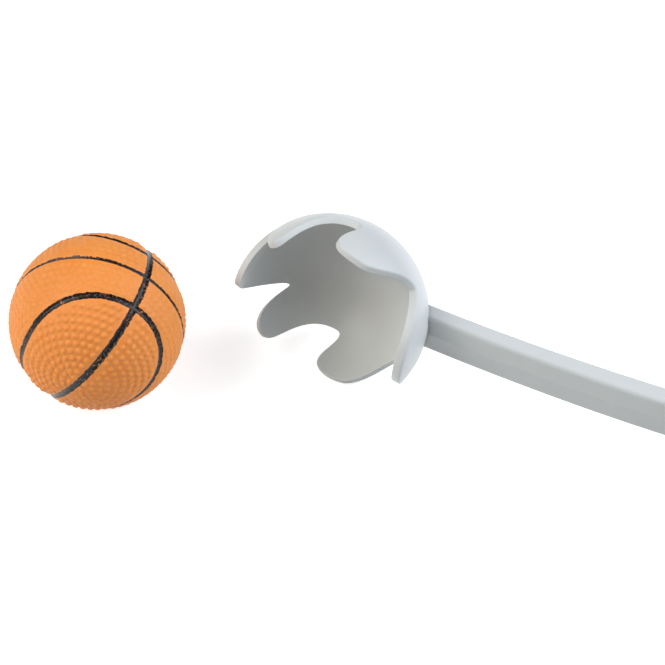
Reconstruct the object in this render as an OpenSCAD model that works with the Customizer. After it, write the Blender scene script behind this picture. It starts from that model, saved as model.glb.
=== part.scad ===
// Dog ball thrower with its ball, lying on its side as it is put down on a floor.
// Origin: centre of the cup. +X runs along the arm to the handle, the cup opens to -Y, +Z is up.

/* [Ball] */
// Diameter of the ball
ball_d = 60; // [54:1:66]
// Wall of the hollow ball
ball_wall = 2.6; // [2:0.1:4]
// Distance from the cup's centre to the ball, toward the far end
ball_ahead = 72.8; // [70:0.1:90]
// Distance from the cup's centre to the ball, on the side of the opening
ball_aside = 30.9; // [28:0.1:60]
// Turn of the ball about X, Y and Z as it lies
ball_turn = [-84.5, -31.9, -173.9]; // [-180:0.1:180]
// Width of the seam that runs over both poles
seam_wide = 2.5; // [1:0.1:3]
// Width of the seam midway between the poles
seam_thin = 1.4; // [0.6:0.1:2]
// Width of the two loops
seam_loop = 2.2; // [0.8:0.1:2.5]
// Depth of the seams
seam_depth = 0.6; // [0.3:0.1:1]
// Angle from the pole to a loop, on average
loop_mid = 53.5; // [48:0.1:56]
// Angle by which a loop's middle lies off the pole
loop_lean = 6.4; // [0:0.1:9]
// Angle by which a loop is longer along the wide seam than on average
loop_stretch = 7; // [0:0.1:8]
// Angle by which a loop is egg-shaped
loop_egg = 1.7; // [0:0.1:2]

/* [Squeaker] */
// Diameter of the squeaker's tube
squeak_d = 9; // [7:0.5:12]
// Length of the squeaker's tube
squeak_len = 9.5; // [8:0.5:14]
// Wall of the tube
squeak_wall = 1.3; // [1:0.1:2]
// Depth of the tube's end below the ball's surface
squeak_sink = 0.4; // [0:0.1:1]
// Lip of the flange that holds the tube inside the ball
flange_lip = 1.5; // [1:0.1:3]
// Thickness of the flange
flange_t = 1; // [0.8:0.1:2]
// Length of the plug that holds the reed
squeak_cap_len = 4.5; // [3:0.1:6]
// Diameter of the air hole
air_hole_d = 2.4; // [1:0.1:4]
// Thickness of the reed
reed_t = 0.3; // [0.2:0.05:0.5]
// Width of the reed
reed_w = 4; // [3:0.1:4.4]
// Length of the reed
reed_len = 5.5; // [4:0.1:6]

/* [Cup] */
// Room all round between the seated ball and the cup
cup_clear = 2.1; // [1.9:0.1:3]
// Wall of the cup
cup_wall = 2.5; // [2.2:0.1:4]
// Lean of the opening from square to the arm, toward the far end
cup_tilt = 8; // [0:1:15]
// Tip of the finger beside the arm, as an angle from the opening's axis
arm_finger_tip = 71.5; // [71:0.5:82]
// Tips of the two side fingers
side_finger_tip = 88.5; // [84:0.5:93]
// Tips of the two fingers next to the far one
next_finger_tip = 85.5; // [82:0.5:92]
// Tip of the far finger
far_finger_tip = 80; // [75:0.5:86]
// Bottoms of the notches beside the arm's finger
arm_notch = 105.5; // [98:0.5:112]
// Bottoms of the notches between the side fingers
side_notch = 119.5; // [115:0.5:127]
// Bottoms of the notches beside the far finger
far_notch = 120; // [113:0.5:127]
// Turn from the arm to the notch beside the arm's finger
arm_notch_turn = 39.5; // [36:0.5:44]
// Turn from the arm to the side finger
side_finger_turn = 75.5; // [73:0.5:78]
// Turn from the arm to the notch between the side fingers
side_notch_turn = 95; // [93.5:0.5:98]
// Turn from the arm to the finger next to the far one
next_finger_turn = 132; // [130.5:0.5:134.5]
// Turn from the arm to the notch beside the far finger
far_notch_turn = 143.5; // [141.5:0.5:147]

/* [Arm] */
// Width of the arm across the throwing plane
arm_w = 17; // [12:0.1:20]
// Thickness of the arm in the throwing plane
arm_t = 6.9; // [5:0.1:8]
// Rounding of the arm's long edges
arm_edge = 1.6; // [0.5:0.1:2]
// Radius of the arm's sweep
arm_sweep = 850; // [500:10:2000]
// How far the arm's crest passes behind the cup's centre
arm_back = 7.8; // [4:0.1:12]
// Distance along the arm from the cup's centre to the crest
arm_crest = 85; // [60:1:120]
// Length of the arm from its crest to the handle
arm_reach = 250; // [150:1:400]
// Lip of the arm's head, round the arm's own outline
head_lip = 2.2; // [1:0.1:4]
// Thickness of the arm's head, sunk in the cup's wall
head_t = 1.4; // [1:0.1:1.8]

/* [Handle] */
// Length of the grip sleeve
grip_len = 112; // [90:1:140]
// Diameter of the grip sleeve
grip_d = 28; // [26:0.5:34]
// Diameter of the handle's core
core_d = 20; // [18:0.5:22]
// Lip of the collar and the end cap, round the grip
collar_lip = 4; // [3:0.1:6]
// Height of their flat sides above the grip, on which the thrower lies
flat_rise = 1; // [0.5:0.1:1.5]
// Thickness of the collar
collar_t = 7; // [5:0.5:12]
// Thickness of the end cap's disc
cap_t = 8; // [6:0.5:12]
// Rounding of the collar and the cap
collar_edge = 1.6; // [0.5:0.1:2.2]
// Number of ring grooves in the grip
grip_rings = 9; // [5:1:14]
// Radius of a ring groove
ring_r = 1.6; // [1:0.1:2]
// Length of the arm's tang inside the core
tang_len = 58; // [45:1:70]
// Width of the tang
tang_w = 12.4; // [10:0.1:14]
// Thickness of the tang
tang_t = 4.4; // [4:0.1:5.2]
// Diameter of the end cap's stub
stub_d = 12; // [10:0.5:13]
// Length of the end cap's stub
stub_len = 18; // [14:0.5:24]
// Diameter of the hang hole
hang_d = 9; // [6:0.5:12]
// Diameter of the eye round the hang hole
eye_d = 20; // [18:0.5:26]
// Thickness of the eye
eye_t = 8; // [6:0.5:12]

/* [Screws] */
// Diameter of a screw's shank
screw_d = 3; // [2.5:0.1:3.5]
// Diameter of a screw's head
screw_head_d = 6; // [5:0.1:7]
// Height of a screw's head
screw_head_h = 2.2; // [1.5:0.1:3]
// Depth of a screw's head below the core's surface
screw_sink = 0.5; // [0.2:0.1:1]
// Length of a screw's shank
screw_len = 14; // [12:0.5:15]
// Distance from the end of the tang, or of the core, to a screw
screw_inset = 10; // [8:0.5:12]
// Distance between the two screws in the tang
screw_pitch = 28; // [20:1:34]

/* [Hidden] */
$fn = 64;
// Facets of a full turn of the arm's wide sweep
sweep_fn = 360;

// Clearance of pieces that are fitted together and don't move
fit = 0.05;
// Clearance of a screw in a hole that it passes through
screw_room = 0.15;
// Overshoot of a cut past the face that it opens
over = 1;

ball_r = ball_d / 2;
cup_inner_r = ball_r + cup_clear;
cup_outer_r = cup_inner_r + cup_wall;
core_r = core_d / 2;
grip_r = grip_d / 2;
collar_r = grip_r + collar_lip;
flat_r = grip_r + flat_rise;

// The arm's sweep is an arc about this point, and ends square to the handle's front
sweep_centre = [arm_crest, arm_back + arm_sweep];
sweep_end = arm_reach / arm_sweep * 180 / PI;
sweep_start = -asin((arm_crest - cup_inner_r / 2) / arm_sweep);
handle_front = sweep_centre + arm_sweep * [sin(sweep_end), -cos(sweep_end)];

// Stations along the handle, from its front
grip_front = collar_t;
grip_back = grip_front + grip_len;
cap_back = grip_back + cap_t;
eye_place = cap_back + eye_d / 2 - collar_edge;
screw_places = [tang_len - screw_inset - screw_pitch, tang_len - screw_inset, grip_back - screw_inset];
screw_seat = core_r - screw_sink - screw_head_h;

// Lying on its side the thrower touches the floor at the cup and at the back edge of the cap's flat
cap_edge = [handle_front[0] + cap_back * cos(sweep_end), flat_r];
lie_angle = asin(cup_outer_r / norm(cap_edge)) - atan2(cap_edge[1], cap_edge[0]);
floor_z = -cup_outer_r;

// Stations of the squeaker, from the ball's centre to the pole that it is set in
squeak_out = ball_r - squeak_sink;
squeak_in = squeak_out - squeak_len;
squeak_bore = squeak_d / 2 - squeak_wall;
flange_r = squeak_d / 2 + flange_lip;
flange_out = sqrt(pow(ball_r - ball_wall, 2) - pow(flange_r, 2)) - fit;
reed_in = squeak_in + (squeak_cap_len - reed_len) / 2;

// Fingers and notches of one half of the rim, from the arm to the far end. Each row gives the turn from
// the arm, the angle from the opening's axis, and how far the round reaches to the arm and to the far end
rim = [
    [0, arm_finger_tip, 27, 27],
    [arm_notch_turn, arm_notch, 6.5, 13],
    [side_finger_turn, side_finger_tip, 11, 40],
    [side_notch_turn, side_notch, 16, 28.5],
    [next_finger_turn, next_finger_tip, 12, 22],
    [far_notch_turn, far_notch, 6.5, 12.5],
    [180, far_finger_tip, 15, 15]
];
rim_steps = 8;
loop_step = 5;
// Lean of the rim cutter's peak to the far end, so that the leaning fingers stay clear of its own top
rim_lean = 22;

function bezier(a, b, c, d, s) =
    a * pow(1 - s, 3) + 3 * b * s * pow(1 - s, 2) + 3 * c * s * s * (1 - s) + d * pow(s, 3);

function rim_at(i, s) = bezier(
    [rim[i][0], rim[i][1]],
    [rim[i][0] + rim[i][3], rim[i][1]],
    [rim[i + 1][0] - rim[i + 1][2], rim[i + 1][1]],
    [rim[i + 1][0], rim[i + 1][1]],
    s);

function direction(turn, polar) = [sin(polar) * cos(turn), sin(polar) * sin(turn), cos(polar)];

// Tips the upright thrower onto its side
module lying() {
    rotate([0, lie_angle, 0]) children();
}

// Carries the handle's own axis, +X from its front, to the end of the arm
module at_handle() {
    translate([handle_front[0], handle_front[1], 0]) rotate([0, 0, sweep_end]) children();
}

// Carries the ball's own axes, poles along Z, to where it lies on the floor
module at_ball() {
    translate([-ball_ahead, -ball_aside, floor_z + ball_r]) rotate(ball_turn) children();
}

// Everything between the fingers: a cone from the cup's centre over the rim
module rim_cutter() {
    half = [for (i = [0 : len(rim) - 2]) for (k = [0 : rim_steps - 1]) rim_at(i, k / rim_steps)];
    far_tip = [180, far_finger_tip];
    other = [for (i = [len(half) - 1 : -1 : 1]) [360 - half[i][0], half[i][1]]];
    outline = concat(half, [far_tip], other);
    n = len(outline);
    reach = 3 * cup_outer_r;
    points = concat(
        [[0, 0, 0], 2 * reach * direction(180, rim_lean)],
        [for (p = outline) reach * direction(p[0], p[1])]);
    faces = concat(
        [for (i = [0 : n - 1]) [0, 2 + i, 2 + (i + 1) % n]],
        [for (i = [0 : n - 1]) [1, 2 + (i + 1) % n, 2 + i]]);
    polyhedron(points, faces);
}

// Rectangle with round corners, t along X and w along Y
module bar_section(t, w, r) {
    square([t - 2 * r, w], center = true);
    square([t, w - 2 * r], center = true);
    for (x = [-1, 1], y = [-1, 1])
        translate([x * (t / 2 - r), y * (w / 2 - r)]) circle(r = r);
}

// The arm's bar along its sweep, from inside the cup to the handle, grown all round
module arm_bar(grow) {
    translate([sweep_centre[0], sweep_centre[1], 0])
        rotate([0, 0, sweep_start - 90])
            rotate_extrude(angle = sweep_end - sweep_start, $fn = sweep_fn)
                translate([arm_sweep, 0])
                    bar_section(arm_t + 2 * grow, arm_w + 2 * grow, arm_edge + grow);
}

module cup() {
    color("gainsboro") lying() difference() {
        rotate([90, 0, -cup_tilt]) difference() {
            sphere(r = cup_outer_r);
            sphere(r = cup_inner_r);
            rim_cutter();
        }
        arm_bar(fit);
        intersection() {
            arm_bar(head_lip + fit);
            sphere(r = cup_inner_r + head_t + fit);
        }
    }
}

module arm() {
    color("gainsboro") lying() difference() {
        union() {
            arm_bar(0);
            intersection() {
                arm_bar(head_lip);
                sphere(r = cup_inner_r + head_t);
            }
            at_handle() translate([tang_len / 2 - over, 0, 0])
                cube([tang_len + 2 * over, tang_t, tang_w], center = true);
        }
        sphere(r = cup_inner_r + fit);
        at_handle() screw_holes(screw_d / 2 + screw_room);
    }
}

// Round body about the handle's axis: z along the axis, x the radius
module turned() {
    rotate([0, 90, 0]) rotate_extrude() children();
}

// Disc across the handle's axis, from x = 0, with round edges and a flat on each side
module flat_disc(t) {
    intersection() {
        turned() {
            square([collar_r - collar_edge, t]);
            translate([0, collar_edge]) square([collar_r, t - 2 * collar_edge]);
            for (z = [collar_edge, t - collar_edge])
                translate([collar_r - collar_edge, z]) circle(r = collar_edge);
        }
        translate([t / 2, 0, 0]) cube([t + 2 * over, 3 * collar_r, 2 * flat_r], center = true);
    }
}

// Straight holes along Y through the handle at each screw
module screw_holes(r) {
    for (x = screw_places)
        translate([x, 0, 0]) rotate([90, 0, 0]) cylinder(r = r, h = core_d, center = true);
}

module handle_core() {
    color("gainsboro") lying() at_handle() difference() {
        union() {
            flat_disc(collar_t);
            turned() square([core_r, grip_back]);
        }
        translate([(tang_len + fit) / 2, 0, 0])
            cube([tang_len + fit + 2 * over, tang_t + 2 * fit, tang_w + 2 * fit], center = true);
        translate([grip_back - stub_len - fit, 0, 0]) rotate([0, 90, 0])
            cylinder(d = stub_d + 2 * fit, h = stub_len + over);
        for (x = screw_places) translate([x, 0, 0]) rotate([-90, 0, 0]) {
            translate([0, 0, screw_seat]) cylinder(d = screw_head_d + 2 * screw_room, h = core_r);
            cylinder(r = screw_d / 2 + screw_room, h = core_r);
            translate([0, 0, screw_seat - screw_len - screw_room])
                cylinder(r = screw_d / 2 + fit, h = screw_len + screw_room);
        }
    }
}

module handle_screws() {
    color("silver") lying() at_handle() for (x = screw_places)
        translate([x, screw_seat, 0]) rotate([-90, 0, 0]) {
            cylinder(d = screw_head_d, h = screw_head_h);
            translate([0, 0, -screw_len]) cylinder(d = screw_d, h = screw_len + over);
        }
}

module grip_sleeve() {
    pitch = grip_len / (grip_rings + 1);
    color("dimgray") lying() at_handle() translate([grip_front, 0, 0]) turned() difference() {
        translate([core_r + fit, 0]) square([grip_r - core_r - fit, grip_len]);
        for (i = [1 : grip_rings]) translate([grip_r, i * pitch]) circle(r = ring_r);
    }
}

module end_cap() {
    color("gainsboro") lying() at_handle() difference() {
        union() {
            translate([grip_back, 0, 0]) flat_disc(cap_t);
            translate([grip_back - stub_len, 0, 0]) turned() square([stub_d / 2, stub_len + over]);
            translate([eye_place, 0, 0]) cylinder(d = eye_d, h = eye_t, center = true);
            translate([(eye_place + cap_back - collar_edge) / 2, 0, 0])
                cube([eye_place - cap_back + collar_edge, eye_d, eye_t], center = true);
        }
        translate([eye_place, 0, 0]) cylinder(d = hang_d, h = eye_t + 2 * over, center = true);
        screw_holes(screw_d / 2 + screw_room);
    }
}

// Ring whose outline is an oval, seen along the ball's poles, that cuts both loops
module loop_cutter() {
    half_turn = seam_loop / 2 / ball_r * 180 / PI;
    difference() {
        loop_oval(half_turn);
        loop_oval(-half_turn);
    }
}

function loop_polar(a) = loop_mid - loop_lean * sin(a) - loop_stretch * cos(2 * a) - loop_egg * sin(3 * a);

module loop_oval(grow) {
    points = [for (a = [0 : loop_step : 360 - loop_step]) ball_r * sin(loop_polar(a) + grow) * [cos(a), sin(a)]];
    linear_extrude(height = 2 * ball_d, center = true) polygon(points);
}

module seams() {
    difference() {
        union() {
            cube([seam_wide, 2 * ball_d, 2 * ball_d], center = true);
            cube([2 * ball_d, 2 * ball_d, seam_thin], center = true);
            loop_cutter();
        }
        sphere(r = ball_r - seam_depth);
    }
}

module ball_shell() {
    color("sandybrown") at_ball() difference() {
        sphere(r = ball_r);
        sphere(r = ball_r - ball_wall);
        seams();
        translate([0, 0, -ball_r - over]) cylinder(d = squeak_d + 2 * fit, h = ball_r);
    }
}

module squeaker_body() {
    color("white") at_ball() mirror([0, 0, 1]) difference() {
        union() {
            translate([0, 0, squeak_in]) cylinder(d = squeak_d, h = squeak_len);
            translate([0, 0, flange_out - flange_t]) cylinder(r = flange_r, h = flange_t);
        }
        translate([0, 0, squeak_in - over]) cylinder(r = squeak_bore, h = squeak_len + over - squeak_wall);
        cylinder(d = air_hole_d, h = ball_d);
    }
}

module squeaker_cap() {
    color("white") at_ball() mirror([0, 0, 1]) difference() {
        translate([0, 0, squeak_in]) cylinder(r = squeak_bore - fit, h = squeak_cap_len);
        translate([-reed_w / 2 - fit, -reed_t / 2 - fit, squeak_in - over])
            cube([reed_w + 2 * fit, reed_t + 2 * fit, squeak_cap_len + 2 * over]);
    }
}

module squeaker_reed() {
    color("gold") at_ball() mirror([0, 0, 1])
        translate([-reed_w / 2, -reed_t / 2, reed_in]) cube([reed_w, reed_t, reed_len]);
}

cup();
arm();
handle_core();
handle_screws();
grip_sleeve();
end_cap();
ball_shell();
squeaker_body();
squeaker_cap();
squeaker_reed();
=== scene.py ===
import math
import bpy
import bmesh
import numpy as np
from mathutils import Euler, Matrix, Vector


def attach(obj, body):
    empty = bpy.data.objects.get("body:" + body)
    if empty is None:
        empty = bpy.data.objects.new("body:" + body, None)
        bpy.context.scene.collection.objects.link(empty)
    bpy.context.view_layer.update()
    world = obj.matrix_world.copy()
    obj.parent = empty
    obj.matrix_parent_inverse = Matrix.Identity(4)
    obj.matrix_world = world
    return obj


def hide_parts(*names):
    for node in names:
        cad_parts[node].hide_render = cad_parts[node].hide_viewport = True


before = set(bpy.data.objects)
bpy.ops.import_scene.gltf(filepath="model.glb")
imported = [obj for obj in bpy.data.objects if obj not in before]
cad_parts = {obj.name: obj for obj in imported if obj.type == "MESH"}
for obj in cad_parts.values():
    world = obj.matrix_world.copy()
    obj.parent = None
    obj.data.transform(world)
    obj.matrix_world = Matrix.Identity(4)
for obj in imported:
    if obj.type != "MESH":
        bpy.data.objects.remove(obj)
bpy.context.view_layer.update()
print("frame loaded:", len(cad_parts), "nodes")

mergeReach = 1e-7  # points nearer than this become one


def toLinear(hexColour):
    parts = [int(hexColour[i:i + 2], 16) / 255 for i in (1, 3, 5)]
    return tuple(p / 12.92 if p <= 0.04045 else ((p + 0.055) / 1.055) ** 2.4 for p in parts) + (1.0,)


def patternScale(sizeMm):  # the texture scale that draws a pattern at its real size
    return 1000 / sizeMm


def metres(sizeMm):
    return sizeMm / 1000


def addNode(tree, kind, props=None, inputs=None):
    node = tree.nodes.new(kind)
    for name, value in (props or {}).items():
        setattr(node, name, value)
    for key, value in (inputs or {}).items():
        if isinstance(value, bpy.types.NodeSocket):
            tree.links.new(value, node.inputs[key])
        else:
            node.inputs[key].default_value = value
    return node


def startMaterial(name):
    material = bpy.data.materials.new(name)
    material.use_nodes = True
    material.node_tree.nodes.clear()
    return material, material.node_tree


def makePiece(name, points, faces, material):
    mesh = bpy.data.meshes.new(name)
    mesh.from_pydata([tuple(p) for p in points], [], faces)
    mesh.validate()
    bm = bmesh.new()
    bm.from_mesh(mesh)
    bmesh.ops.remove_doubles(bm, verts=bm.verts, dist=mergeReach)
    bmesh.ops.recalc_face_normals(bm, faces=bm.faces)
    bm.to_mesh(mesh)
    bm.free()
    mesh.shade_smooth()
    mesh.materials.append(material)
    piece = bpy.data.objects.new(name, mesh)
    bpy.context.scene.collection.objects.link(piece)
    return piece


# camera, from the lines of the arm and the circle of the cup
view = {
    "right": (0.9412, 0.3267, 0.0853),
    "up": (-0.3043, 0.7116, 0.6332),
    "away": 1.0308,
    "aimRight": 0.00137,
    "aimUp": -0.00653,
    "lens": 162.4,
    "sensor": 36,
    "clipFrom": 0.05,
}
camRight = Vector(view["right"]).normalized()
camUp = (Vector(view["up"]) - camRight * Vector(view["up"]).dot(camRight)).normalized()
camBack = camRight.cross(camUp)
camera = bpy.data.objects.new("camera", bpy.data.cameras.new("camera"))
camera.data.sensor_width = view["sensor"]
camera.data.lens = view["lens"]
camera.data.clip_start = view["clipFrom"]
camPlace = camRight * view["aimRight"] + camUp * view["aimUp"] + camBack * view["away"]
camTurn = Matrix((camRight, camUp, camBack)).transposed().to_4x4()
camera.matrix_world = Matrix.Translation(camPlace) @ camTurn
bpy.context.scene.collection.objects.link(camera)
bpy.context.scene.camera = camera
print("camera set")


# materials

def mouldedPolypropylene():
    # Moulded polypropylene: pale cool grey with a satin skin, light soaks in a little,
    # and the mould leaves a fine grain
    look = {
        "grey": "#CFD3D3", "cloud": "#C9CDCD", "cloudMm": 22,
        "rough": 0.32, "roughSpread": 0.04, "ior": 1.49, "shine": 0.25,
        "grainMm": 0.7, "grainDepthMm": 0.012, "grainStrength": 0.5,
        "soak": 0.2, "soakColour": (1.0, 1.0, 1.0), "soakMm": 3,
    }
    material, tree = startMaterial("mouldedPolypropylene")
    place = addNode(tree, "ShaderNodeTexCoord").outputs["Object"]
    cloud = addNode(tree, "ShaderNodeTexNoise", None,
                    {"Vector": place, "Scale": patternScale(look["cloudMm"]), "Detail": 2.0})
    grain = addNode(tree, "ShaderNodeTexNoise", None,
                    {"Vector": place, "Scale": patternScale(look["grainMm"]), "Detail": 2.0})
    colour = addNode(tree, "ShaderNodeMix", {"data_type": "RGBA"},
                     {0: cloud.outputs["Fac"], 6: toLinear(look["grey"]), 7: toLinear(look["cloud"])})
    rough = addNode(tree, "ShaderNodeMapRange", None,
                    {"Value": cloud.outputs["Fac"], "To Min": look["rough"] - look["roughSpread"],
                     "To Max": look["rough"] + look["roughSpread"]})
    bump = addNode(tree, "ShaderNodeBump", None,
                   {"Height": grain.outputs["Fac"], "Distance": metres(look["grainDepthMm"]),
                    "Strength": look["grainStrength"]})
    skin = addNode(tree, "ShaderNodeBsdfPrincipled", None, {
        "Base Color": colour.outputs[2], "Roughness": rough.outputs[0], "Normal": bump.outputs[0],
        "IOR": look["ior"], "Specular IOR Level": look["shine"], "Subsurface Weight": look["soak"],
        "Subsurface Radius": look["soakColour"], "Subsurface Scale": metres(look["soakMm"])})
    addNode(tree, "ShaderNodeOutputMaterial", None, {"Surface": skin.outputs[0]})
    return material


def mouldedVinyl(painted):
    # Soft PVC: matt orange, a little dusty, with darker and paler patches,
    # and worn gloss black paint in the seams, flecked with grey that is partly scuffs and partly a painted
    # sheen
    look = {
        "orange": "#F89C4E", "deep": "#EF8F40", "patchMm": 7,
        "speck": "#FCC28F", "speckMm": 0.8, "speckFrom": 0.66, "speckFull": 0.76, "speckMost": 0.55,
        "rough": 0.52, "ior": 1.5, "shine": 0.3, "skinDepthMm": 0.04, "skinStrength": 0.5,
        "soak": 0.3, "soakColour": (1.0, 0.45, 0.2), "soakMm": 2.5,
        # paint: its colour, its ragged edge, where it has worn off, and where grey flecks stand for scuffs
        # and a painted sheen
        "black": "#1B1819", "paintRough": 0.26, "rippleDepthMm": 0.16,
        "edgeMm": 1.2, "edgeRag": 0.95, "paintTo": 0.43, "bareFrom": 0.55,
        "wearMm": 1.0, "wearRough": 0.65, "rubbedMm": 11, "rubbedShare": 0.6,
        "wornFrom": 0.93, "wornFull": 1.0, "wornLeast": 0.1,
        "sheenAndScuff": "#605A57", "sheenAndScuffFrom": 0.52, "sheenAndScuffFull": 0.72, "sheenAndScuffMost": 0.9,
    }
    material, tree = startMaterial("paintedVinyl" if painted else "mouldedVinyl")
    place = addNode(tree, "ShaderNodeTexCoord").outputs["Object"]
    patch = addNode(tree, "ShaderNodeTexNoise", None,
                    {"Vector": place, "Scale": patternScale(look["patchMm"]), "Detail": 3.0})
    speck = addNode(tree, "ShaderNodeTexNoise", None,
                    {"Vector": place, "Scale": patternScale(look["speckMm"]), "Detail": 2.0})
    speckles = addNode(tree, "ShaderNodeMapRange", None,
                       {"Value": speck.outputs["Fac"], "From Min": look["speckFrom"],
                        "From Max": look["speckFull"], "To Max": look["speckMost"]})
    colour = addNode(tree, "ShaderNodeMix", {"data_type": "RGBA"},
                     {0: patch.outputs["Fac"], 6: toLinear(look["orange"]), 7: toLinear(look["deep"])})
    dusted = addNode(tree, "ShaderNodeMix", {"data_type": "RGBA"},
                     {0: speckles.outputs[0], 6: colour.outputs[2], 7: toLinear(look["speck"])})
    bump = addNode(tree, "ShaderNodeBump", None,
                   {"Height": speck.outputs["Fac"], "Distance": metres(look["skinDepthMm"]),
                    "Strength": look["skinStrength"]})
    skin = addNode(tree, "ShaderNodeBsdfPrincipled", None, {
        "Base Color": dusted.outputs[2], "Roughness": look["rough"], "Normal": bump.outputs[0],
        "IOR": look["ior"], "Specular IOR Level": look["shine"], "Subsurface Weight": look["soak"],
        "Subsurface Radius": look["soakColour"], "Subsurface Scale": metres(look["soakMm"])})
    if painted:
        gap = addNode(tree, "ShaderNodeAttribute", {"attribute_name": "seamGap"}).outputs["Fac"]
        edge = addNode(tree, "ShaderNodeTexNoise", None,
                       {"Vector": place, "Scale": patternScale(look["edgeMm"]), "Detail": 3.0})
        ragged = addNode(tree, "ShaderNodeMath", {"operation": "MULTIPLY_ADD"},
                         {0: edge.outputs["Fac"], 1: look["edgeRag"], 2: gap})
        inside = addNode(tree, "ShaderNodeMapRange", None,
                         {"Value": ragged.outputs[0], "From Min": look["paintTo"],
                          "From Max": look["bareFrom"], "To Min": 1.0, "To Max": 0.0})
        wear = addNode(tree, "ShaderNodeTexNoise", None,
                       {"Vector": place, "Scale": patternScale(look["wearMm"]), "Detail": 4.0,
                        "Roughness": look["wearRough"]})
        rubbed = addNode(tree, "ShaderNodeTexNoise", None,
                         {"Vector": place, "Scale": patternScale(look["rubbedMm"])})
        worn = addNode(tree, "ShaderNodeMath", {"operation": "MULTIPLY_ADD"},
                       {0: rubbed.outputs["Fac"], 1: look["rubbedShare"], 2: wear.outputs["Fac"]})
        kept = addNode(tree, "ShaderNodeMapRange", None,
                       {"Value": worn.outputs[0], "From Min": look["wornFrom"], "From Max": look["wornFull"],
                        "To Min": 1.0, "To Max": look["wornLeast"]})
        paint = addNode(tree, "ShaderNodeMath", {"operation": "MULTIPLY"},
                        {0: inside.outputs[0], 1: kept.outputs[0]}).outputs[0]
        # grey flecks in the black paint: partly scuffs, partly a painted sheen that stands in for the paint's
        # gloss highlight
        sheenAndScuffed = addNode(tree, "ShaderNodeMapRange", None,
                          {"Value": speck.outputs["Fac"], "From Min": look["sheenAndScuffFrom"],
                           "From Max": look["sheenAndScuffFull"], "To Max": look["sheenAndScuffMost"]})
        black = addNode(tree, "ShaderNodeMix", {"data_type": "RGBA"},
                        {0: sheenAndScuffed.outputs[0], 6: toLinear(look["black"]), 7: toLinear(look["sheenAndScuff"])})
        coloured = addNode(tree, "ShaderNodeMix", {"data_type": "RGBA"},
                           {0: paint, 6: dusted.outputs[2], 7: black.outputs[2]})
        rough = addNode(tree, "ShaderNodeMapRange", None,
                        {"Value": paint, "To Min": look["rough"], "To Max": look["paintRough"]})
        ripple = addNode(tree, "ShaderNodeBump", None,
                         {"Height": wear.outputs["Fac"], "Distance": metres(look["rippleDepthMm"]),
                          "Strength": paint, "Normal": bump.outputs[0]})
        tree.links.new(coloured.outputs[2], skin.inputs["Base Color"])
        tree.links.new(rough.outputs[0], skin.inputs["Roughness"])
        tree.links.new(ripple.outputs[0], skin.inputs["Normal"])
    addNode(tree, "ShaderNodeOutputMaterial", None, {"Surface": skin.outputs[0]})
    return material


def gripRubber():
    # Thermoplastic rubber: charcoal, dull, with the stipple of an etched mould
    look = {"charcoal": "#3B3D40", "worn": "#4A4C4F", "wornMm": 9, "rough": 0.62, "ior": 1.5,
            "stippleMm": 0.6, "stippleDepthMm": 0.05, "stippleStrength": 0.6}
    material, tree = startMaterial("gripRubber")
    place = addNode(tree, "ShaderNodeTexCoord").outputs["Object"]
    cloud = addNode(tree, "ShaderNodeTexNoise", None,
                    {"Vector": place, "Scale": patternScale(look["wornMm"]), "Detail": 3.0})
    stipple = addNode(tree, "ShaderNodeTexVoronoi", None,
                      {"Vector": place, "Scale": patternScale(look["stippleMm"])})
    colour = addNode(tree, "ShaderNodeMix", {"data_type": "RGBA"},
                     {0: cloud.outputs["Fac"], 6: toLinear(look["charcoal"]), 7: toLinear(look["worn"])})
    bump = addNode(tree, "ShaderNodeBump", None,
                   {"Height": stipple.outputs["Distance"], "Distance": metres(look["stippleDepthMm"]),
                    "Strength": look["stippleStrength"]})
    skin = addNode(tree, "ShaderNodeBsdfPrincipled", None, {
        "Base Color": colour.outputs[2], "Roughness": look["rough"], "Normal": bump.outputs[0],
        "IOR": look["ior"]})
    addNode(tree, "ShaderNodeOutputMaterial", None, {"Surface": skin.outputs[0]})
    return material


def platedMetal(name, bright, dull, rough):
    # Plated steel and spring brass: bright, with the fine drawn lines of wire and strip
    look = {"drawnMm": 0.5, "roughSpread": 0.12}
    material, tree = startMaterial(name)
    place = addNode(tree, "ShaderNodeTexCoord").outputs["Object"]
    drawn = addNode(tree, "ShaderNodeTexNoise", None,
                    {"Vector": place, "Scale": patternScale(look["drawnMm"]), "Detail": 3.0})
    colour = addNode(tree, "ShaderNodeMix", {"data_type": "RGBA"},
                     {0: drawn.outputs["Fac"], 6: toLinear(bright), 7: toLinear(dull)})
    spread = addNode(tree, "ShaderNodeMapRange", None,
                     {"Value": drawn.outputs["Fac"], "To Min": rough, "To Max": rough + look["roughSpread"]})
    skin = addNode(tree, "ShaderNodeBsdfPrincipled", None,
                   {"Base Color": colour.outputs[2], "Metallic": 1.0, "Roughness": spread.outputs[0]})
    addNode(tree, "ShaderNodeOutputMaterial", None, {"Surface": skin.outputs[0]})
    return material


def squeakerPolythene():
    # Natural polythene: milky white, waxy, lets light through
    look = {"milk": "#E6E5E0", "shade": "#DAD9D2", "milkMm": 3, "rough": 0.4, "ior": 1.51,
            "soak": 0.4, "soakColour": (1.0, 1.0, 0.9), "soakMm": 2}
    material, tree = startMaterial("squeakerPolythene")
    place = addNode(tree, "ShaderNodeTexCoord").outputs["Object"]
    milk = addNode(tree, "ShaderNodeTexNoise", None,
                   {"Vector": place, "Scale": patternScale(look["milkMm"]), "Detail": 2.0})
    colour = addNode(tree, "ShaderNodeMix", {"data_type": "RGBA"},
                     {0: milk.outputs["Fac"], 6: toLinear(look["milk"]), 7: toLinear(look["shade"])})
    skin = addNode(tree, "ShaderNodeBsdfPrincipled", None, {
        "Base Color": colour.outputs[2], "Roughness": look["rough"], "IOR": look["ior"],
        "Subsurface Weight": look["soak"], "Subsurface Radius": look["soakColour"],
        "Subsurface Scale": metres(look["soakMm"])})
    addNode(tree, "ShaderNodeOutputMaterial", None, {"Surface": skin.outputs[0]})
    return material


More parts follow.
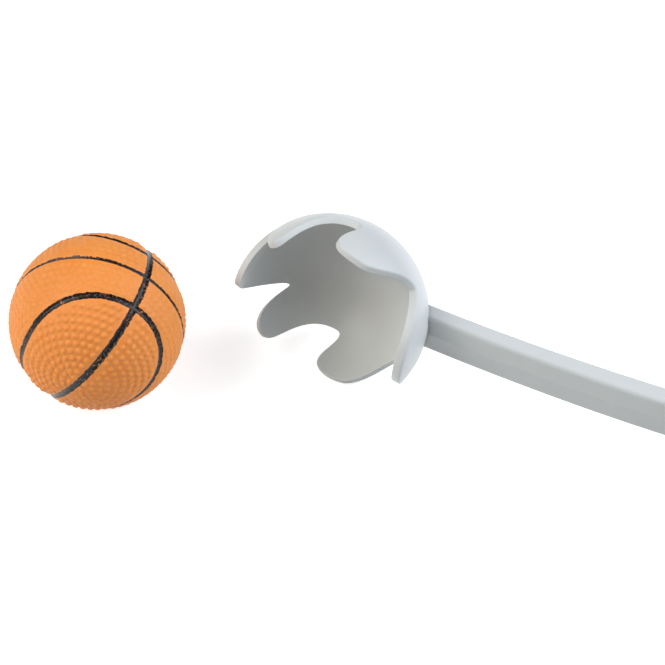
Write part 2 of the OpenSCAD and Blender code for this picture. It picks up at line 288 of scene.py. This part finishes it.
polypropylene = mouldedPolypropylene()
paintedVinyl = mouldedVinyl(True)
plainVinyl = mouldedVinyl(False)
rubber = gripRubber()
screwSteel = platedMetal("zincPlatedSteel", "#C9CBCE", "#A9ABAE", 0.28)
reedBrass = platedMetal("springBrass", "#E2C077", "#C9A257", 0.22)
polythene = squeakerPolythene()
print("materials made")


# the thrower's own axes, tipped onto its side, and the handle's axis at the end of the sweep
thrower = {"lie": 2.4818, "sweep": 0.850, "crestX": 0.085, "crestBehind": 0.0078, "reach": 0.250}
lying = Matrix.Rotation(math.radians(thrower["lie"]), 4, "Y")
sweepEnd = thrower["reach"] / thrower["sweep"]
sweepCentre = Vector((thrower["crestX"], thrower["crestBehind"] + thrower["sweep"], 0))
handleFront = sweepCentre + thrower["sweep"] * Vector((math.sin(sweepEnd), -math.cos(sweepEnd), 0))
toHandle = Matrix.Translation(handleFront) @ Matrix.Rotation(sweepEnd, 4, "Z")


# cup: a round bowl whose rim runs over six fingers, with a wall that is thicker at the arm
cup = {
    "outer": 0.0346,
    "wall": 0.0025,
    "wallAtArm": 0.00035,
    "wallOval": 0.0003,
    "tilt": 8,
    "roll": 1.0,
    "spin": 1.0,
    "setBack": 0.0009,
    "outerEdge": 0.0007,
    "innerEdge": 0.0004,
    "edgeSteps": 6,
    "rows": 44,
    "flankSteps": 36,
    # turn from the arm, angle from the opening, reach of the round to the arm and to the far end
    "rim": [
        (0, 70.6, 27.3, 27.3), (39.6, 105.5, 6.4, 12.8), (74.9, 88.3, 11, 41.8), (94.8, 119.8, 16.2, 28.5),
        (132.2, 85.2, 11.9, 18.5), (143.2, 121, 2.6, 6.3), (180, 80.2, 11.6, 11.6),
    ],
    "shear": 0.47,
    "shearFrom": 58,
    "shearRounds": 40,
}


def rimDirections():
    half = []
    for near, far in zip(cup["rim"], cup["rim"][1:]):
        for k in range(cup["flankSteps"]):
            s = k / cup["flankSteps"]
            weights = ((1 - s) ** 3, 3 * s * (1 - s) ** 2, 3 * s * s * (1 - s), s ** 3)
            turn = np.dot(weights, (near[0], near[0] + near[3], far[0] - far[2], far[0]))
            polar = np.dot(weights, (near[1], near[1], far[1], far[1]))
            half.append((turn, polar))
    last = cup["rim"][-1][:2]
    whole = half + [last] + [(360 - turn, polar) for turn, polar in half[:0:-1]]
    return np.radians(np.array(whole, float))


def outerSkin(unit):
    return np.full(len(unit), cup["outer"])


def innerSkin(unit):
    x, y = unit[:, 0], unit[:, 1]
    return cup["outer"] - cup["wall"] - cup["wallAtArm"] * x - cup["wallOval"] * (x * x - y * y)


def cornerRound(start, corner, end):
    return [tuple((1 - s) ** 2 * a + 2 * s * (1 - s) * b + s * s * c for a, b, c in zip(start, corner, end))
            for s in np.linspace(0, 1, cup["edgeSteps"])]


def cupMesh():
    turn, polar = rimDirections().T
    out = np.stack([np.sin(polar) * np.cos(turn), np.sin(polar) * np.sin(turn), np.cos(polar)], 1)
    along = np.roll(out, -1, 0) - np.roll(out, 1, 0)
    across = np.cross(out, along)
    across /= np.linalg.norm(across, axis=1)[:, None]
    count = len(out)
    inner, outer = innerSkin(out), outerSkin(out)

    def ring(radius, inset):  # the rim's line moved into the wall by an inset, at a distance from the centre
        a = (-inset / radius)[:, None]
        return radius[:, None] * (out * np.cos(a) + across * np.sin(a))

    def fan(edge, skin):  # rings from an edge to the back of the bowl, leaning so that none crosses a notch
        unit = edge / np.linalg.norm(edge, axis=1)[:, None]
        reach = 180 - np.degrees(np.arccos(np.clip(unit[:, 2], -1, 1)))
        azimuth = np.unwrap(np.arctan2(unit[:, 1], unit[:, 0]))

        def lean(base, r):
            shear = np.radians(cup["shear"] * np.maximum(r - cup["shearFrom"], 0))
            return shear * np.sin(base) * np.abs(np.sin(base))

        base = azimuth.copy()
        for _ in range(cup["shearRounds"]):
            base = azimuth - lean(base, reach)
        rings = []
        for k in range(1, cup["rows"]):
            r = reach * (1 - k / cup["rows"])
            a, p = base + lean(base, r), np.radians(180 - r)
            u = np.stack([np.sin(p) * np.cos(a), np.sin(p) * np.sin(a), np.cos(p)], 1)
            rings.append(skin(u)[:, None] * u)
        return rings

    # the rim's face runs from the inner skin to the outer skin, which ends a little lower
    length = np.sqrt((outer - inner) ** 2 + cup["setBack"] ** 2)
    faceOut, faceBack = (outer - inner) / length, cup["setBack"] / length
    none, back = 0 * inner, 0 * inner + cup["setBack"]
    outerEdge, innerEdge = cup["outerEdge"], cup["innerEdge"]
    profile = cornerRound((outer, back + outerEdge), (outer, back),
                          (outer - outerEdge * faceOut, back - outerEdge * faceBack))
    profile += cornerRound((inner + innerEdge * faceOut, innerEdge * faceBack), (inner, none),
                           (inner, none + innerEdge))
    rim = [ring(radius, inset) for radius, inset in profile]
    rings = fan(rim[0], outerSkin)[::-1] + rim + fan(rim[-1], innerSkin)
    bottom = np.array([[0, 0, -1.0]])
    points = np.vstack(rings + [bottom * outerSkin(bottom)[:, None], bottom * innerSkin(bottom)[:, None]])
    faces = []
    for k in range(len(rings) - 1):
        for i in range(count):
            j = (i + 1) % count
            faces.append((k * count + i, k * count + j, (k + 1) * count + j, (k + 1) * count + i))
    last = (len(rings) - 1) * count
    for i in range(count):
        j = (i + 1) % count
        faces.append((len(points) - 2, j, i))
        faces.append((len(points) - 1, last + i, last + j))
    return points, faces


cupPoints, cupFaces = cupMesh()
cupPiece = makePiece("fingered_cup", cupPoints, cupFaces, polypropylene)
cupPlace = lying
for degrees, axis in ((-cup["tilt"], "Z"), (90 + cup["roll"], "X"), (cup["spin"], "Z")):
    cupPlace = cupPlace @ Matrix.Rotation(math.radians(degrees), 4, axis)
cupPiece.data.transform(cupPlace)
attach(cupPiece, "thrower")
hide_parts("cup")
print("cup made:", len(cupPiece.data.polygons), "faces")


# arm: a flat bar along its sweep, a little slimmer at the cup, with a fine ridge along both flats,
# a head in the cup's wall and a tang in the handle
arm = {
    "thinAtCup": 0.0063, "thin": 0.0074, "wideAtCup": 0.0166, "wide": 0.0172,
    "taperStart": 0.03, "taperEnd": 0.13, "steps": 90,
    "edge": 0.0016, "edgeSteps": 6, "ridge": 0.00014, "ridgeHalf": 0.0004,
    # the bar starts inside the cup's wall, and its first twelfth follows the round of the wall
    "startMiddle": 0.033, "startRound": 0.0329, "startPart": 12,
    "startBetween": (-0.1, -0.02), "halvings": 50,
    "headLip": 0.0022, "headFrom": 0.03200, "headTo": 0.03330, "headRings": (0.25, 0.5, 0.75, 1),
    "tangWide": 0.0124, "tangThin": 0.0044, "tangEdge": 0.0003, "tangRings": (-0.001, 0.02, 0.04, 0.058),
}


def barSection(thin, wide, edge, ridge):
    corners = []
    for x, y, start in ((1, 1, 0), (-1, 1, 90), (-1, -1, 180), (1, -1, 270)):
        for k in range(arm["edgeSteps"] + 1):
            a = math.radians(start + 90 / arm["edgeSteps"] * k)
            corners.append((x * (thin / 2 - edge) + edge * math.cos(a),
                            y * (wide / 2 - edge) + edge * math.sin(a)))
        if (x, y) == (-1, 1):
            corners += [(-thin / 2, arm["ridgeHalf"]), (-thin / 2 - ridge, 0), (-thin / 2, -arm["ridgeHalf"])]
        if (x, y) == (1, -1):
            corners += [(thin / 2, -arm["ridgeHalf"]), (thin / 2 + ridge, 0), (thin / 2, arm["ridgeHalf"])]
    return corners


def onSweep(angle, p, q):
    r = thrower["sweep"] + p
    return (sweepCentre.x + r * math.sin(angle), sweepCentre.y - r * math.cos(angle), q)


def sweepAtRadius(p, q, radius):  # where along the sweep a point of the section meets a sphere about the cup
    low, high = arm["startBetween"]
    for _ in range(arm["halvings"]):
        mid = (low + high) / 2
        low, high = (mid, high) if Vector(onSweep(mid, p, q)).length < radius else (low, mid)
    return low


def loft(rings, points, faces):
    start, n = len(points), len(rings[0])
    for ring in rings:
        points += ring
    for k in range(len(rings) - 1):
        for i in range(n):
            j = (i + 1) % n
            a = start + k * n
            faces.append((a + i, a + j, a + n + j, a + n + i))
    for a, turnRound in ((start, True), (start + (len(rings) - 1) * n, False)):
        middle = len(points)
        points.append(tuple(np.mean(np.array(points[a:a + n]), 0)))
        for i in range(n):
            j = (i + 1) % n
            faces.append((middle, a + j, a + i) if turnRound else (middle, a + i, a + j))


def barRings():
    startAngle = sweepAtRadius(0, 0, arm["startMiddle"])
    rings = []
    for k in range(arm["steps"] + 1):
        share = k / arm["steps"]
        angle = startAngle + (sweepEnd - startAngle) * share
        along = thrower["crestX"] + thrower["sweep"] * math.sin(angle)
        t = min(max((along - arm["taperStart"]) / (arm["taperEnd"] - arm["taperStart"]), 0), 1)
        t = t * t * (3 - 2 * t)
        thin = arm["thinAtCup"] + (arm["thin"] - arm["thinAtCup"]) * t
        wide = arm["wideAtCup"] + (arm["wide"] - arm["wideAtCup"]) * t
        pull = max(0.0, 1 - share * arm["startPart"])
        ring = []
        for p, q in barSection(thin, wide, arm["edge"], arm["ridge"]):
            atWall = sweepAtRadius(p, q, arm["startRound"])
            ring.append(onSweep(angle + pull * (atWall - startAngle), p, q))
        rings.append(ring)
    return rings


def headRing(section, share, radius):
    smaller = [(p * share, q * share) for p, q in section]
    return [onSweep(sweepAtRadius(p, q, radius), p, q) for p, q in smaller]


def armMesh():
    points, faces = [], []
    loft(barRings(), points, faces)
    lip = arm["headLip"]
    head = barSection(arm["thinAtCup"] + 2 * lip, arm["wideAtCup"] + 2 * lip, arm["edge"] + lip, 0)
    inside = [headRing(head, share, arm["headFrom"]) for share in arm["headRings"]]
    outside = [headRing(head, share, arm["headTo"]) for share in arm["headRings"][::-1]]
    loft(inside + outside, points, faces)
    tang = barSection(arm["tangThin"], arm["tangWide"], arm["tangEdge"], 0)
    loft([[tuple(toHandle @ Vector((x, p, q))) for p, q in tang] for x in arm["tangRings"]], points, faces)
    return points, faces


armPoints, armFaces = armMesh()
armPiece = makePiece("swept_arm", armPoints, armFaces, polypropylene)
armPiece.data.transform(lying)
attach(armPiece, "thrower")
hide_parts("arm")
print("arm made:", len(armPiece.data.polygons), "faces")


# grip: a soft sleeve turned about the handle's axis, with rounded ring grooves
grip = {"front": 0.007, "long": 0.112, "radius": 0.014, "bore": 0.01005, "rings": 9, "ringRadius": 0.0016,
        "ringSteps": 13, "lip": 0.0007, "lipSteps": 5, "turns": 96}


def gripProfile():
    front, back = grip["front"], grip["front"] + grip["long"]
    radius, r, lip = grip["radius"], grip["ringRadius"], grip["lip"]
    pitch = grip["long"] / (grip["rings"] + 1)
    mouth = math.sqrt((r + lip) ** 2 - lip ** 2)  # a lip of that radius rolls into the round groove
    meet = math.atan2(lip, mouth)
    outline = [(front, grip["bore"]), (front, radius - lip)]
    for a in np.radians((30, 60, 90)):
        outline.append((front + lip * (1 - math.cos(a)), radius - lip * (1 - math.sin(a))))
    for k in range(1, grip["rings"] + 1):
        centre = front + k * pitch
        for a in np.linspace(0, math.pi / 2 - meet, grip["lipSteps"]):
            outline.append((centre - mouth + lip * math.sin(a), radius - lip + lip * math.cos(a)))
        for a in np.linspace(math.pi + meet, 2 * math.pi - meet, grip["ringSteps"])[1:-1]:
            outline.append((centre + r * math.cos(a), radius + r * math.sin(a)))
        for a in np.linspace(math.pi / 2 - meet, 0, grip["lipSteps"]):
            outline.append((centre + mouth - lip * math.sin(a), radius - lip + lip * math.cos(a)))
    for a in np.radians((90, 60, 30, 0)):
        outline.append((back - lip * (1 - math.cos(a)), radius - lip * (1 - math.sin(a))))
    outline.append((back, grip["bore"]))
    return outline


def turnedMesh(outline, turns):
    points, faces, n = [], [], len(outline)
    for k in range(turns):
        a = 2 * math.pi * k / turns
        points += [(x, r * math.cos(a), r * math.sin(a)) for x, r in outline]
    for k in range(turns):
        a, b = k * n, (k + 1) % turns * n
        for i in range(n):
            j = (i + 1) % n
            faces.append((a + i, a + j, b + j, b + i))
    return points, faces


gripPoints, gripFaces = turnedMesh(gripProfile(), grip["turns"])
gripPiece = makePiece("ringed_grip", gripPoints, gripFaces, rubber)
gripPiece.data.transform(lying @ toHandle)
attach(gripPiece, "thrower")
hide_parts("grip_sleeve")
print("grip made:", len(gripPiece.data.polygons), "faces")


# ball: a hollow vinyl ball with painted seams, poles along its own Z
ball = {
    "radius": 0.030,
    "place": (-0.0728, -0.0309, -0.0046),
    "turn": (-84.5, -31.9, -173.9),
    "seamDepth": 0.0006,
    "seamRound": 0.8,
    "wideHalf": 0.00125,
    "thinHalf": 0.0007,
    "loopHalf": 0.0011,
    # the loops' angle from the pole, in degrees, and what leans and stretches them
    "loopMid": 53.5,
    "loopLean": 6.4,
    "loopStretch": 7,
    "loopEgg": 1.7,
    "slopeStep": 0.01,
    "slopeLeast": 0.3,
    "squeakHole": 0.00455,
    "squeakDeep": 0.0012,
    "subdivisions": 6,
    "finerWithin": (0.0014, 0.0008),
}
seamHalves = (ball["wideHalf"], ball["thinHalf"], ball["loopHalf"])
ballTurn = Euler([math.radians(a) for a in ball["turn"]], "XYZ").to_matrix().to_4x4()
ballPlace = Matrix.Translation(ball["place"]) @ ballTurn


def loopPolar(turn):  # the angle from the pole to the loops
    return np.radians(ball["loopMid"] - ball["loopLean"] * np.sin(turn)
                      - ball["loopStretch"] * np.cos(2 * turn) - ball["loopEgg"] * np.sin(3 * turn))


def loopGap(unit):  # distance over the skin to the loops, less than nothing inside them
    turn = np.arctan2(unit[:, 1], unit[:, 0])
    polar = np.arccos(np.clip(np.abs(unit[:, 2]), 0, 1))
    step = ball["slopeStep"]
    rise = loopPolar(turn + step) - loopPolar(turn - step)
    slope = rise / (2 * step * np.maximum(np.sin(polar), ball["slopeLeast"]))
    return ball["radius"] * (polar - loopPolar(turn)) / np.sqrt(1 + slope * slope)


def seamDistances(unit):  # distance over the skin to the wide seam, the thin seam and the loops
    across = [ball["radius"] * np.arcsin(np.clip(np.abs(unit[:, k]), 0, 1)) for k in (0, 2)]
    return across + [np.abs(loopGap(unit))]


def seamGap(unit):  # distance over the skin to the nearest seam's edge
    return np.min([d - half for d, half in zip(seamDistances(unit), seamHalves)], 0)


def unitPoints(bm):
    co = np.array([v.co for v in bm.verts])
    return co / np.linalg.norm(co, axis=1)[:, None]


def ballMesh():
    bm = bmesh.new()
    bmesh.ops.create_icosphere(bm, subdivisions=ball["subdivisions"], radius=1)
    for reach in ball["finerWithin"]:  # finer faces along the seams
        gap = seamGap(unitPoints(bm))
        bm.verts.index_update()
        close = [e for e in bm.edges if min(gap[e.verts[0].index], gap[e.verts[1].index]) < reach]
        bmesh.ops.subdivide_edges(bm, edges=close, cuts=1, use_grid_fill=True)
        bmesh.ops.triangulate(bm, faces=[f for f in bm.faces if len(f.verts) > 4])
    unit = unitPoints(bm)
    sink = 0 * unit[:, 0]
    for d, half in zip(seamDistances(unit), seamHalves):
        sink = np.maximum(sink, ball["seamDepth"] * np.clip(1 - (d / half) ** 2, 0, 1) ** ball["seamRound"])
    fromHole = ball["radius"] * np.arccos(np.clip(-unit[:, 2], -1, 1)) - ball["squeakHole"]
    sink = np.where(fromHole < 0, ball["squeakDeep"], sink)
    place = unit * (ball["radius"] - sink)[:, None]
    for v, p in zip(bm.verts, place):
        v.co = p
    mesh = bpy.data.meshes.new("seamed_ball")
    bm.to_mesh(mesh)
    bm.free()
    gap = mesh.attributes.new("seamGap", "FLOAT", "POINT")  # in millimetres, for the paint
    gap.data.foreach_set("value", (seamGap(unit) * 1000).astype(np.float32))
    mesh.shade_smooth()
    mesh.materials.append(paintedVinyl)
    return mesh


ballPiece = bpy.data.objects.new("seamed_ball", ballMesh())
bpy.context.scene.collection.objects.link(ballPiece)
ballPiece.data.transform(ballPlace)
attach(ballPiece, "ball")
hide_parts("ball_shell")
print("ball made:", len(ballPiece.data.polygons), "faces")


# pebbles: rings of small round bumps about each pole, full inside the loops and faint near the thin seam
pebbles = {
    "pitch": 0.0026, "width": 0.0024, "height": 0.0005, "seamRoom": 0.0010, "squeakRoom": 0.0012,
    "lastRing": 88, "faintNear": 0.8, "faintFar": 0.6, "faintFrom": 0.55,
    "sides": 10, "rows": 3, "top": 0.92,
}


def pebblePoints():
    rows = []
    step = pebbles["pitch"] / ball["radius"]
    for pole in (1, -1):
        for k in range(1, int(math.radians(pebbles["lastRing"]) / step) + 1):
            polar = k * step
            across, high = math.sin(polar), pole * math.cos(polar)
            count = round(2 * math.pi * across / step)
            for i in range(count):
                a = 2 * math.pi * (i + 0.5 * (k % 2)) / count
                rows.append((across * math.cos(a), across * math.sin(a), high))
    unit = np.array(rows)
    x, y, z = unit.T
    fade = np.clip(np.abs(z) / pebbles["faintFrom"], 0, 1)
    faint = pebbles["faintFar"] + (pebbles["faintNear"] - pebbles["faintFar"]) * fade
    lift = np.where(loopGap(unit) < 0, 1.0, faint)
    squeakEdge = ball["squeakHole"] + pebbles["squeakRoom"]
    kept = seamGap(unit) > pebbles["seamRoom"]
    kept &= ~((z < 0) & (ball["radius"] * np.sqrt(x * x + y * y) < squeakEdge))
    return unit[kept] * ball["radius"], lift[kept]


def pebbleTree():
    tree = bpy.data.node_groups.new("ballPebbles", "GeometryNodeTree")
    face = tree.interface
    face.new_socket("Geometry", in_out="INPUT", socket_type="NodeSocketGeometry")
    sockets = {name: face.new_socket(name, in_out="INPUT", socket_type=kind).identifier
               for name, kind in (("Pebble Width", "NodeSocketFloat"), ("Pebble Height", "NodeSocketFloat"),
                                  ("Skin", "NodeSocketMaterial"))}
    face.new_socket("Geometry", in_out="OUTPUT", socket_type="NodeSocketGeometry")
    given = addNode(tree, "NodeGroupInput").outputs
    place = addNode(tree, "GeometryNodeInputPosition").outputs[0]
    # one pebble: a cone bent into a dome, whose foot is a little below the skin
    cone = addNode(tree, "GeometryNodeMeshCone", {"fill_type": "NONE"},
                   {"Vertices": pebbles["sides"], "Side Segments": pebbles["rows"],
                    "Radius Top": 0.0, "Radius Bottom": 1.0, "Depth": 1.0})
    spot = addNode(tree, "ShaderNodeSeparateXYZ", None, {0: place})
    flat = addNode(tree, "ShaderNodeCombineXYZ", None, {0: spot.outputs[0], 1: spot.outputs[1]})
    out = addNode(tree, "ShaderNodeVectorMath", {"operation": "LENGTH"}, {0: flat.outputs[0]})
    square = addNode(tree, "ShaderNodeMath", {"operation": "MULTIPLY"},
                     {0: out.outputs["Value"], 1: out.outputs["Value"]})
    high = addNode(tree, "ShaderNodeMath", {"operation": "MULTIPLY_ADD"},
                   {0: square.outputs[0], 1: -1.0, 2: pebbles["top"]})
    domed = addNode(tree, "ShaderNodeCombineXYZ", None,
                    {0: spot.outputs[0], 1: spot.outputs[1], 2: high.outputs[0]})
    dome = addNode(tree, "GeometryNodeSetPosition", None,
                   {"Geometry": cone.outputs["Mesh"], "Position": domed.outputs[0]})
    # all pebbles: turned outwards, each as high as its spot says
    lift = addNode(tree, "GeometryNodeInputNamedAttribute", {"data_type": "FLOAT"}, {"Name": "lift"})
    radius = addNode(tree, "ShaderNodeMath", {"operation": "MULTIPLY"}, {0: given["Pebble Width"], 1: 0.5})
    height = addNode(tree, "ShaderNodeMath", {"operation": "MULTIPLY"},
                     {0: given["Pebble Height"], 1: lift.outputs[0]})
    size = addNode(tree, "ShaderNodeCombineXYZ", None,
                   {0: radius.outputs[0], 1: radius.outputs[0], 2: height.outputs[0]})
    turn = addNode(tree, "FunctionNodeAlignRotationToVector", {"axis": "Z"}, {"Vector": place})
    placed = addNode(tree, "GeometryNodeInstanceOnPoints", None,
                     {"Points": given["Geometry"], "Instance": dome.outputs[0], "Rotation": turn.outputs[0],
                      "Scale": size.outputs[0]})
    real = addNode(tree, "GeometryNodeRealizeInstances", None, {"Geometry": placed.outputs[0]})
    skinned = addNode(tree, "GeometryNodeSetMaterial", None,
                      {"Geometry": real.outputs[0], "Material": given["Skin"]})
    addNode(tree, "NodeGroupOutput", None, {0: skinned.outputs[0]})
    return tree, sockets


pebbleSpots, pebbleLift = pebblePoints()
spotMesh = bpy.data.meshes.new("pebbleSpots")
spotMesh.from_pydata([tuple(p) for p in pebbleSpots], [], [])
spotMesh.attributes.new("lift", "FLOAT", "POINT").data.foreach_set("value", pebbleLift.astype(np.float32))
spotHolder = bpy.data.objects.new("pebbleSpots", spotMesh)
bpy.context.scene.collection.objects.link(spotHolder)
pebbleNodes, pebbleSockets = pebbleTree()
scatter = spotHolder.modifiers.new("pebbles", "NODES")
scatter.node_group = pebbleNodes
scatter[pebbleSockets["Pebble Width"]] = pebbles["width"]
scatter[pebbleSockets["Pebble Height"]] = pebbles["height"]
scatter[pebbleSockets["Skin"]] = plainVinyl
ready = spotHolder.evaluated_get(bpy.context.evaluated_depsgraph_get())
pebbleMesh = bpy.data.meshes.new_from_object(ready)
bpy.data.objects.remove(spotHolder)
pebblePiece = bpy.data.objects.new("ball_pebbles", pebbleMesh)
bpy.context.scene.collection.objects.link(pebblePiece)
pebblePiece.data.transform(ballPlace)
pebblePiece.data.shade_smooth()
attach(pebblePiece, "ball")
print("pebbles made:", len(pebbleSpots), "bumps,", len(pebblePiece.data.polygons), "faces")


# nodes whose solid shape is right keep it and take a finish
finishes = {"handle_core": polypropylene, "end_cap": polypropylene, "handle_screws": screwSteel,
            "squeaker_body": polythene, "squeaker_cap": polythene, "squeaker_reed": reedBrass}
for nodeName, finish in finishes.items():
    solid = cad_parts[nodeName]
    solid.data.materials.clear()
    solid.data.materials.append(finish)
print("finishes set on", len(finishes), "nodes")


# floor and light: white paper under three large soft boxes, in a dark room
studio = {
    "floor": -0.0348, "floorSize": 6, "paper": "#C4C4C4", "fibre": "#EDEDED", "fibreMm": 25, "lift": 0.70,
    "roomLight": 0.0,
    # each soft box: its place, its side, its power and its colour
    "boxes": {
        "leftFront": ((-0.83, -0.48, 0.8), 1.0, 15.0, "#FFFDF7"),
        "rightBack": ((0.83, 0.48, 0.8), 1.1, 14.6, "#F3F7FF"),
        "right": ((0.87, -0.12, 0.88), 0.8, 4.4, "#F0F5FF"),
    },
}


def whitePaper():
    # Matt white paper: takes the object's shadow, and is lifted to white where the camera sees it
    material, tree = startMaterial("whitePaper")
    place = addNode(tree, "ShaderNodeTexCoord").outputs["Object"]
    fibre = addNode(tree, "ShaderNodeTexNoise", None,
                    {"Vector": place, "Scale": patternScale(studio["fibreMm"])})
    colour = addNode(tree, "ShaderNodeMix", {"data_type": "RGBA"},
                     {0: fibre.outputs["Fac"], 6: toLinear(studio["paper"]), 7: toLinear(studio["fibre"])})
    paper = addNode(tree, "ShaderNodeBsdfDiffuse", None, {"Color": colour.outputs[2]})
    rays = addNode(tree, "ShaderNodeLightPath").outputs
    seen = addNode(tree, "ShaderNodeMath", {"operation": "MAXIMUM"},
                   {0: rays["Is Camera Ray"], 1: rays["Is Glossy Ray"]})
    seen = addNode(tree, "ShaderNodeMath", {"operation": "MAXIMUM"},
                   {0: seen.outputs[0], 1: rays["Is Transmission Ray"]})
    lift = addNode(tree, "ShaderNodeMath", {"operation": "MULTIPLY"}, {0: seen.outputs[0], 1: studio["lift"]})
    glow = addNode(tree, "ShaderNodeEmission", None, {"Strength": lift.outputs[0]})
    both = addNode(tree, "ShaderNodeAddShader", None, {0: paper.outputs[0], 1: glow.outputs[0]})
    addNode(tree, "ShaderNodeOutputMaterial", None, {"Surface": both.outputs[0]})
    return material


half, level = studio["floorSize"] / 2, studio["floor"]
floorCorners = [(-half, -half, level), (half, -half, level), (half, half, level), (-half, half, level)]
floor = makePiece("floor", floorCorners, [(0, 1, 2, 3)], whitePaper())

room = bpy.data.worlds.new("room")
room.use_nodes = True
room.node_tree.nodes.clear()
roomLight = addNode(room.node_tree, "ShaderNodeBackground", None,
                    {"Color": (1, 1, 1, 1), "Strength": studio["roomLight"]})
addNode(room.node_tree, "ShaderNodeOutputWorld", None, {"Surface": roomLight.outputs[0]})
bpy.context.scene.world = room

for boxName, (boxPlace, boxSide, boxPower, boxColour) in studio["boxes"].items():
    box = bpy.data.objects.new(boxName, bpy.data.lights.new(boxName, "AREA"))
    box.data.shape = "SQUARE"
    box.data.size = boxSide
    box.data.energy = boxPower
    box.data.color = toLinear(boxColour)[:3]
    box.location = boxPlace
    box.rotation_euler = (-box.location).to_track_quat("-Z", "Y").to_euler()
    bpy.context.scene.collection.objects.link(box)
bpy.context.scene.view_settings.view_transform = "Standard"
print("floor and light set")
